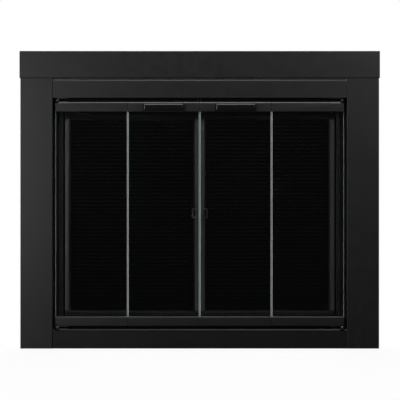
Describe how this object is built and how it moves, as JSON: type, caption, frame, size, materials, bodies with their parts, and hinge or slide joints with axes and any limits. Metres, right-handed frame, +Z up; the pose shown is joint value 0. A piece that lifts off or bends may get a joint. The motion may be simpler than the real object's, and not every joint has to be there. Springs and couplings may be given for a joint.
{
  "type": "fireplace glass door",
  "caption": "Fireplace surround with bi-fold glass panels, short pulls and hinged wire-mesh gates behind the glass.",
  "frame": {"origin": "on the hearth, at the centre of the part's bounding box in X and Y; the masonry face is at y = -0.0029", "axes": "+Z up, the front faces -Y, +X to the right seen from the front"},
  "size_m": [0.9906, 0.1222, 0.818],
  "materials": {
    "black_coat": "satin black powder coat",
    "gate_coat": "matte black paint",
    "wire": "matte black wire",
    "pull_black": "semi-gloss black",
    "zinc": "zinc plated",
    "nylon": "black nylon",
    "glass": "clear tempered"
  },
  "bodies": {
    "surround": {"header_cover": "black_coat", "upper_rail": "black_coat", "lower_rail": "black_coat", "upper_inner_flange": "gate_coat", "lower_inner_flange": "gate_coat", "left_stile_cover": "black_coat", "left_upper_corner_bracket": "zinc", "left_hearth_bracket": "zinc", "left_lintel_bracket": "zinc", "left_lintel_clamp_screw": "zinc", "left_jamb_channel": "gate_coat", "left_upper_frame_pivot": "black_coat", "left_lower_frame_pivot": "black_coat", "right_stile_cover": "black_coat", "right_upper_corner_bracket": "zinc", "right_hearth_bracket": "zinc", "right_lintel_bracket": "zinc", "right_lintel_clamp_screw": "zinc", "right_jamb_channel": "gate_coat", "right_upper_frame_pivot": "black_coat", "right_lower_frame_pivot": "black_coat"},
    "left_outer_panel": {"left_outer_glass": "glass", "left_outer_top_rail": "black_coat", "left_outer_bottom_rail": "black_coat", "left_upper_panel_pivot": "black_coat", "left_lower_panel_pivot": "black_coat", "left_upper_fold_leaf_outer": "black_coat", "left_lower_fold_leaf_outer": "black_coat"},
    "left_inner_panel": {"left_inner_glass": "glass", "left_inner_top_rail": "black_coat", "left_inner_bottom_rail": "black_coat", "left_upper_fold_leaf_inner": "black_coat", "left_lower_fold_leaf_inner": "black_coat", "left_guide_pin": "nylon", "left_pull": "pull_black", "left_pull_screw_1": "zinc", "left_pull_screw_2": "zinc"},
    "left_gate": {"left_gate_frame": "gate_coat", "left_gate_mesh": "wire", "left_gate_loop": "gate_coat"},
    "right_outer_panel": {"right_outer_glass": "glass", "right_outer_top_rail": "black_coat", "right_outer_bottom_rail": "black_coat", "right_upper_panel_pivot": "black_coat", "right_lower_panel_pivot": "black_coat", "right_upper_fold_leaf_outer": "black_coat", "right_lower_fold_leaf_outer": "black_coat"},
    "right_inner_panel": {"right_inner_glass": "glass", "right_inner_top_rail": "black_coat", "right_inner_bottom_rail": "black_coat", "right_upper_fold_leaf_inner": "black_coat", "right_lower_fold_leaf_inner": "black_coat", "right_guide_pin": "nylon", "right_pull": "pull_black", "right_pull_screw_1": "zinc", "right_pull_screw_2": "zinc"},
    "right_gate": {"right_gate_frame": "gate_coat", "right_gate_mesh": "wire", "right_gate_loop": "gate_coat"}
  },
  "joints": [
    {"name": "left_panel_pivot", "type": "hinge", "parent": "surround", "child": "left_outer_panel", "pos_m": [-0.3924, -0.0329, 0.37], "axis": [0, 0, -1], "range_deg": [0, 85]},
    {"name": "left_panel_fold", "type": "hinge", "parent": "left_outer_panel", "child": "left_inner_panel", "pos_m": [-0.198, -0.0218, 0.37], "axis": [0, 0, 1], "range_deg": [0, 170]},
    {"name": "right_panel_pivot", "type": "hinge", "parent": "surround", "child": "right_outer_panel", "pos_m": [0.3924, -0.0329, 0.37], "axis": [0, 0, 1], "range_deg": [0, 85]},
    {"name": "right_panel_fold", "type": "hinge", "parent": "right_outer_panel", "child": "right_inner_panel", "pos_m": [0.198, -0.0218, 0.37], "axis": [0, 0, -1], "range_deg": [0, 170]},
    {"name": "left_gate_hinge", "type": "hinge", "parent": "surround", "child": "left_gate", "pos_m": [-0.36575, -0.0109, 0.366], "axis": [0, 0, 1], "range_deg": [0, 85]},
    {"name": "right_gate_hinge", "type": "hinge", "parent": "surround", "child": "right_gate", "pos_m": [0.36575, -0.0109, 0.366], "axis": [0, 0, -1], "range_deg": [0, 85]}
  ],
  "couplings": [
    {"joint": "left_panel_fold", "follows": "left_panel_pivot", "ratio": 2},
    {"joint": "right_panel_fold", "follows": "right_panel_pivot", "ratio": 2}
  ]
}
